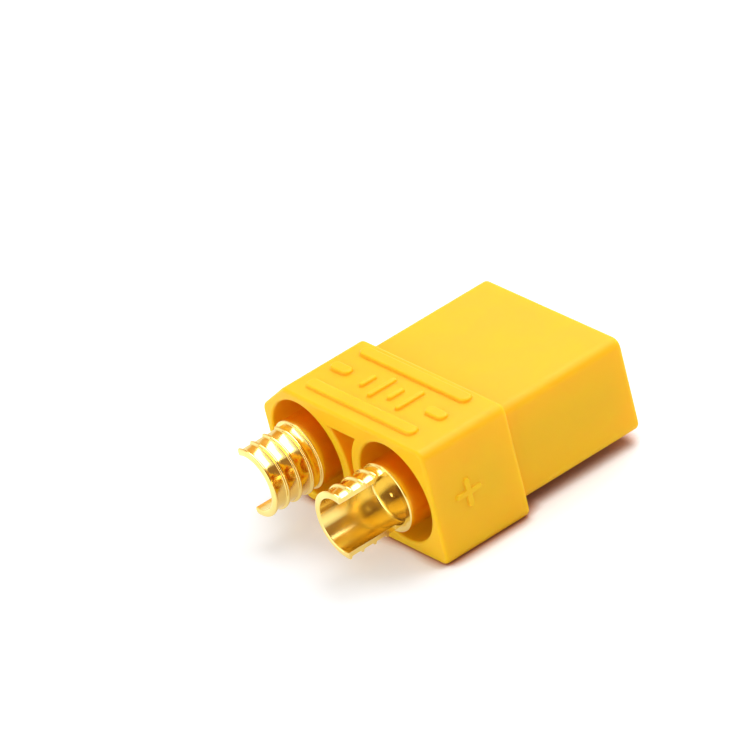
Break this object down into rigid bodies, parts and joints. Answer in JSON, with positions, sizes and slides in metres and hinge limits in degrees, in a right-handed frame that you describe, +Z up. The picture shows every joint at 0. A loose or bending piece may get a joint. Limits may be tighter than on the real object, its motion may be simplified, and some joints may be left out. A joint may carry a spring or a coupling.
{
  "type": "battery connector plug",
  "caption": "Moulded plug body of a battery connector with turned gold-plated contacts: open ridged wire cups at the back, sockets at the flat mating face, slanted on the negative side.",
  "frame": {"origin": "centre of the mating face, midway between the two contact axes", "axes": "+Y out of the mating face, +X towards the square positive side, +Z up through the broad face with the raised bars"},
  "size_m": [0.0214, 0.0258, 0.0103],
  "materials": {
    "yellow_nylon": "satin moulded",
    "gold_plating": "polished gold plate"
  },
  "bodies": {
    "root": {"housing": "yellow_nylon", "positive_contact": "gold_plating", "negative_contact": "gold_plating"}
  },
  "joints": []
}
